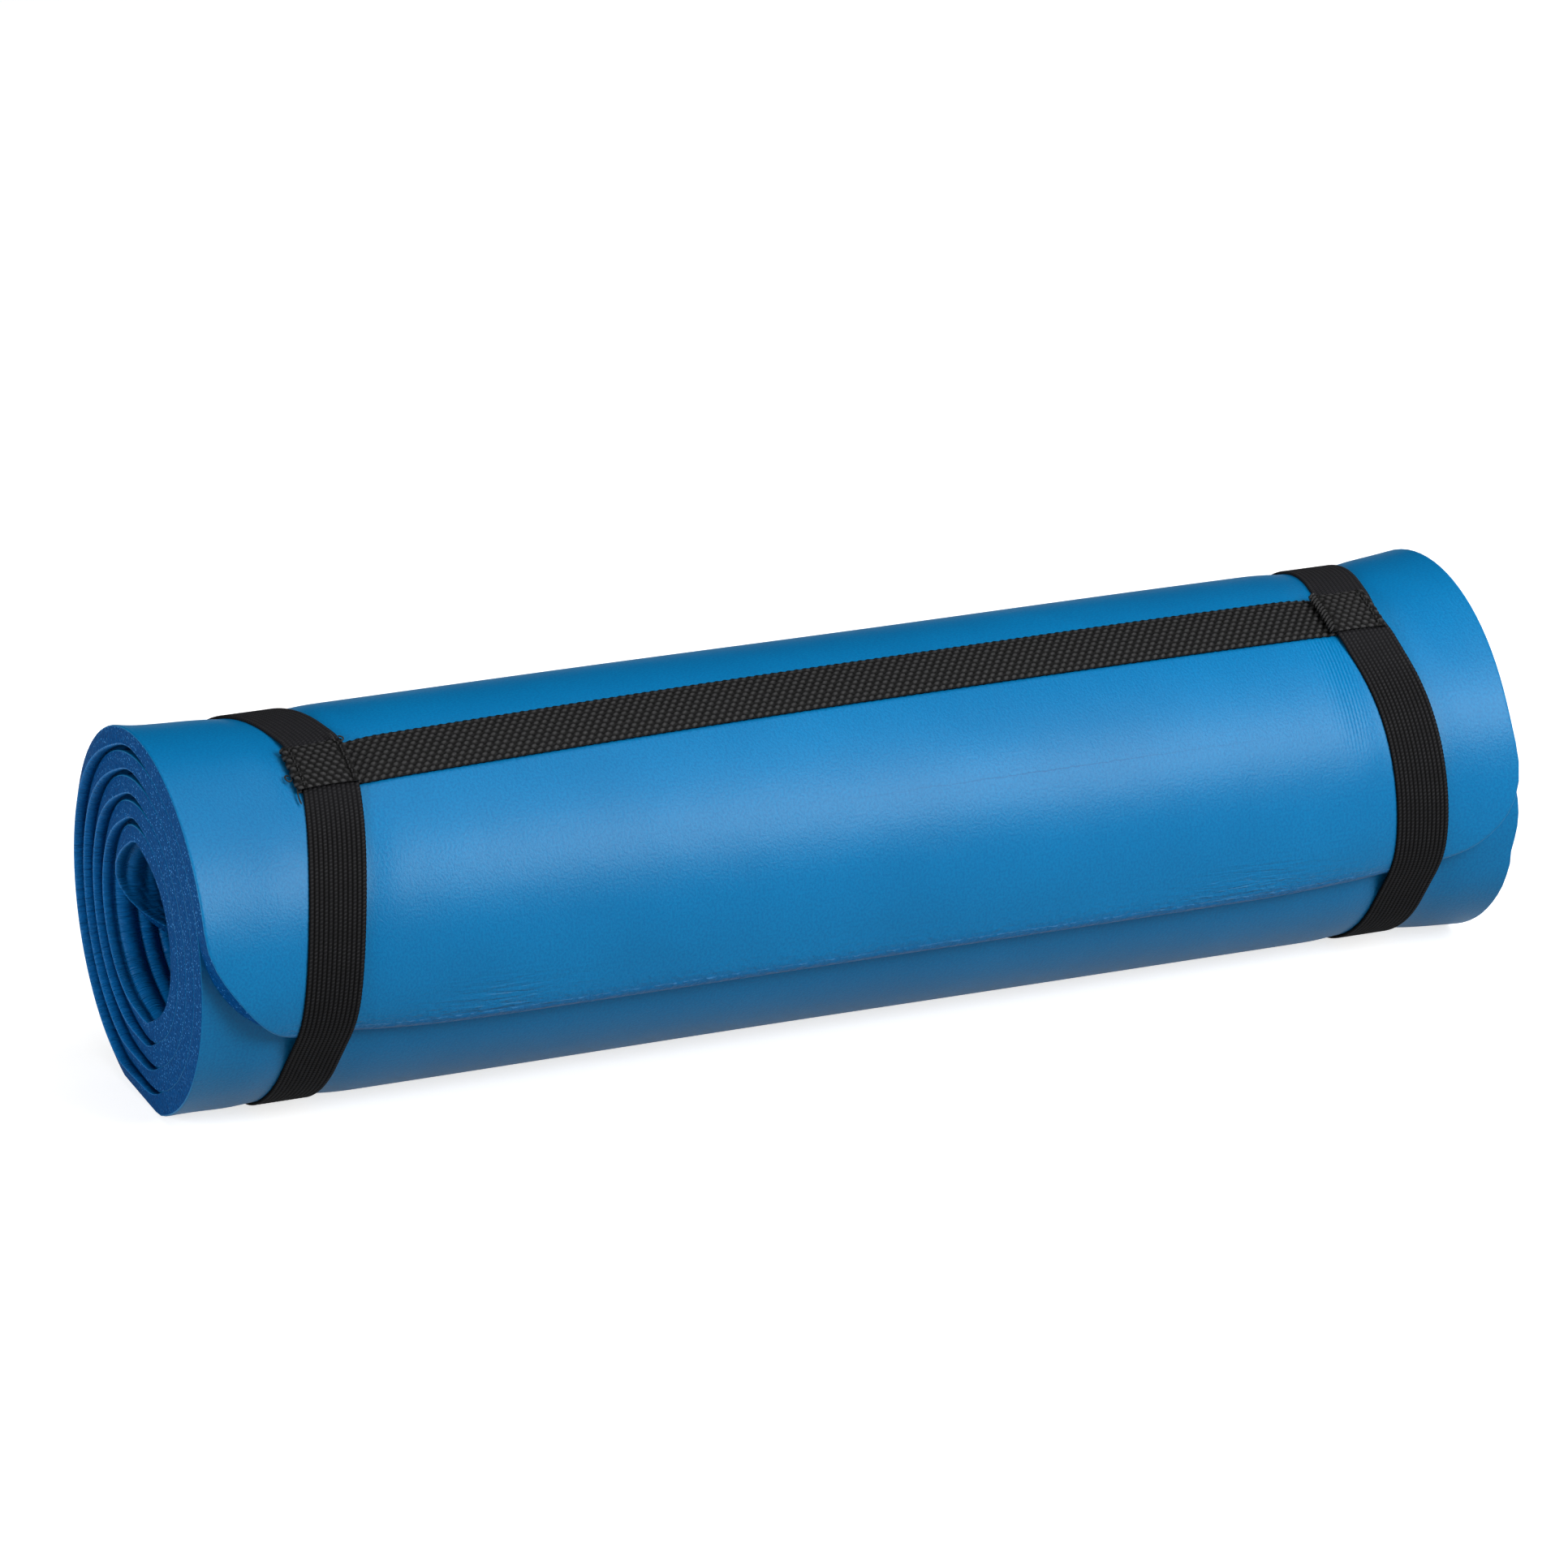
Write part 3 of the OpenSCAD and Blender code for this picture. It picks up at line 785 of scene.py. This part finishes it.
def thread_tubes(name, lines, radius):
    """One object of round threads that run along the given lines of points."""
    points, faces, uv = [], [], []
    turn = np.linspace(0, 2 * np.pi, thread_sides + 1)[:-1]
    start = 0
    for line in lines:
        line = np.asarray(line, float)
        ahead = np.gradient(line, axis=0)
        ahead /= np.linalg.norm(ahead, axis=1)[:, None]
        side = np.cross(ahead, [0.31, -0.72, 0.61])
        side /= np.linalg.norm(side, axis=1)[:, None]
        third = np.cross(ahead, side)
        swell = np.full(len(line), radius)
        swell[[0, -1]] = radius * 0.2
        ring = side[:, None] * np.cos(turn)[None, :, None]
        ring = ring + third[:, None] * np.sin(turn)[None, :, None]
        points.append((line[:, None] + ring * swell[:, None, None]).reshape(-1, 3))
        index = start + np.arange(len(line) * thread_sides).reshape(len(line), thread_sides)
        faces.append(quads(np.hstack([index, index[:, :1]])))
        far = np.concatenate([[0], np.cumsum(np.linalg.norm(np.diff(line, axis=0), axis=1))])
        uv.append(np.stack([np.repeat(far, thread_sides), np.tile(turn * radius, len(line))], -1))
        start += len(line) * thread_sides
    return new_piece(name, np.concatenate(points), np.concatenate(faces), np.concatenate(uv))


def on_strap(x, across, height):
    """Points above the sewn tab, from places along the roll and across the webbing."""
    x, height, across = (np.asarray(value, float) for value in (x, height, across))
    return strap_place(x, height, across)


def straight_row(x, count, wander):
    """Short floats of thread in line across the strap."""
    lines = []
    edges = np.linspace(-0.0108, 0.0108, count + 1)
    for k in range(count):
        v = np.linspace(edges[k] + 0.0002, edges[k + 1] - 0.0002, 7)
        arch = np.sin(np.linspace(0, np.pi, 7))
        lean = np.linspace(-0.0002, 0.0002, 7)
        float_x = x + lean + wander * math.sin(k * 2.1)
        lines.append(on_strap(float_x, v, mid_high + 0.0001 + 0.0006 * arch))
    return lines


def zigzag_bar(x, count, wide):
    """Close zigzag passes that cover a cut end like a rope."""
    lines = []
    edges = np.linspace(-0.0116, 0.0116, count + 1)
    wave = np.sin(np.linspace(0, np.pi, 8))
    for k in range(count):
        v = np.linspace(edges[k], edges[k + 1], 8) + 0.0005 * np.linspace(-1, 1, 8)
        pass_x = x + wide * np.linspace(-0.5, 0.5, 8)
        lines.append(on_strap(pass_x, v, mid_high - 0.0002 + 0.0018 * wave**0.6))
    return lines


left_outer_x = left_fold + 0.0030
left_inner_x = left_cut - 0.0024
right_outer_x = right_fold - 0.0030
right_inner_x = right_cut + 0.0010

tail_v = np.linspace(0, 1, 16)
loop_turn = np.linspace(0.2, 5.4, 18)
loop_out = left_fold - 0.0004 - 0.0014 * (1 - np.cos(loop_turn))
loop_side = -0.0034 - 0.0026 * np.sin(loop_turn) - 0.0003 * loop_turn
outer_tails = [
    on_strap(loop_out, loop_side, 0.0016 + 0.0006 * np.sin(loop_turn)),
    on_strap(
        left_fold + 0.0006 - 0.0012 * np.sin(tail_v * 2.4),
        -0.0085 - 0.0095 * tail_v,
        0.0026 - 0.0013 * tail_v,
    ),
]
inner_tails = [
    on_strap(
        left_cut - 0.0034 - 0.0010 * tail_v,
        0.0105 + 0.0064 * tail_v,
        0.0040 + 0.0008 * np.sin(tail_v * 3.1),
    ),
    on_strap(
        left_cut - 0.0012 + 0.0018 * np.sin(tail_v * 3.1),
        0.0098 + 0.0036 * tail_v,
        0.0040 + 0.0004 * tail_v,
    ),
]

thread, tree, shader = start_material("black_thread", Roughness=0.5)
shader.inputs["Specular IOR Level"].default_value = 0.35
place = sheet_place(tree, 1, 1)
ply_place = sheet_place(tree, 1, 1, (-1200, 0), 0.7)
ply = add(tree, "TexWave", (-900, 0), {"Vector": ply_place, "Scale": 420.0})
fuzz = add(tree, "TexNoise", (-900, 250), {"Vector": place, "Scale": 2600, "Detail": 2})
thread_blacks = [(0.3, (0.010, 0.010, 0.0105)), (0.8, (0.062, 0.062, 0.064))]
colour = ramp(tree, fuzz.outputs["Fac"], thread_blacks, (-600, 250))
tree.links.new(colour, shader.inputs["Base Color"])
tree.links.new(bumps(tree, [(ply.outputs["Fac"], 0.6, 0.0002)]), shader.inputs["Normal"])

sewing = {
    "stitch_left_outer": straight_row(left_outer_x, 9, 0.0001) + outer_tails,
    "stitch_left_inner": straight_row(left_inner_x, 9, 0.0002) + inner_tails,
    "stitch_right_inner": zigzag_bar(right_inner_x, 12, 0.0034),
    "stitch_right_outer": straight_row(right_outer_x, 9, 0.0001),
}
for row_name, lines in sewing.items():
    radius = bar_thread_radius if row_name == "stitch_right_inner" else thread_radius
    row = thread_tubes(row_name.replace("stitch", "thread"), lines, radius)
    row.data.materials.append(thread)
    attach(row, "sling")
    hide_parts(row_name)


# -------------------------------------------------------- floor, lights, camera
# A plain white studio floor, five soft lights and a weak even surround. The key light
# stands high in front on the right.

bpy.ops.mesh.primitive_plane_add(size=30, location=(0, 0, 0))
floor = bpy.context.object
floor.name = "studio_floor"
white, tree, shader = start_material("studio_white", Roughness=0.9)
shader.inputs["Base Color"].default_value = (0.49, 0.49, 0.49, 1)
shader.inputs["Emission Color"].default_value = (1, 1, 1, 1)
ray = add(tree, "LightPath", (-600, 0))
seen = maths(tree, "MULTIPLY", ray.outputs["Is Camera Ray"], 0.78)
mirrored = maths(tree, "MULTIPLY_ADD", ray.outputs["Is Glossy Ray"], 0.43, seen)
tree.links.new(mirrored, shader.inputs["Emission Strength"])
floor.data.materials.append(white)

world = bpy.data.worlds.new("studio_air")
world.use_nodes = True
world.node_tree.nodes["Background"].inputs["Color"].default_value = (1, 1, 1, 1)
world.node_tree.nodes["Background"].inputs["Strength"].default_value = 0.02
bpy.context.scene.world = world


def soft_light(name, place, aim, size, power):
    """A square area light that points at aim."""
    light = bpy.data.lights.new(name, "AREA")
    light.size = size
    light.energy = power
    holder = bpy.data.objects.new(name, light)
    holder.location = place
    holder.rotation_euler = (Vector(aim) - Vector(place)).to_track_quat("-Z", "Y").to_euler()
    bpy.context.scene.collection.objects.link(holder)


middle_z = (pad_low.z + pad_high.z) / 2
soft_light("key_light", (0.96, -1.84, 1.42), (0, 0, middle_z), 1.25, 54)
soft_light("high_light", (0.75, -1.10, 2.10), (0, 0, middle_z), 1.2, 13)
soft_light("top_light", (0.0, 0.1, 2.4), (0, 0, middle_z), 1.6, 19)
soft_light("rear_light", (2.3, 1.5, 0.7), (0.1, 0, middle_z), 1.2, 14)
soft_light("side_light", (-2.6, -0.35, 0.8), (-0.3, 0, middle_z), 1.0, 42)

camera_data = bpy.data.cameras.new("camera")
camera = bpy.data.objects.new("camera", camera_data)
bpy.context.scene.collection.objects.link(camera)
round_by, raised_by, away = math.radians(22.95), math.radians(20.15), 3.50
level = math.cos(raised_by)
forward = Vector((math.sin(round_by) * level, math.cos(round_by) * level, -math.sin(raised_by)))
right = Vector((math.cos(round_by), -math.sin(round_by), 0))
up = right.cross(forward)
camera.location = Vector((0, 0, middle_z)) - forward * away
look_at = Vector((0, 0, middle_z)) - right * 0.0084 + up * 0.0182
camera.rotation_euler = (look_at - camera.location).to_track_quat("-Z", "Y").to_euler()
camera_data.sensor_width = 36
camera_data.lens = 186.5
camera_data.clip_end = 50
bpy.context.scene.camera = camera

bpy.context.scene.view_settings.view_transform = "Standard"
bpy.context.scene.view_settings.gamma = 0.85
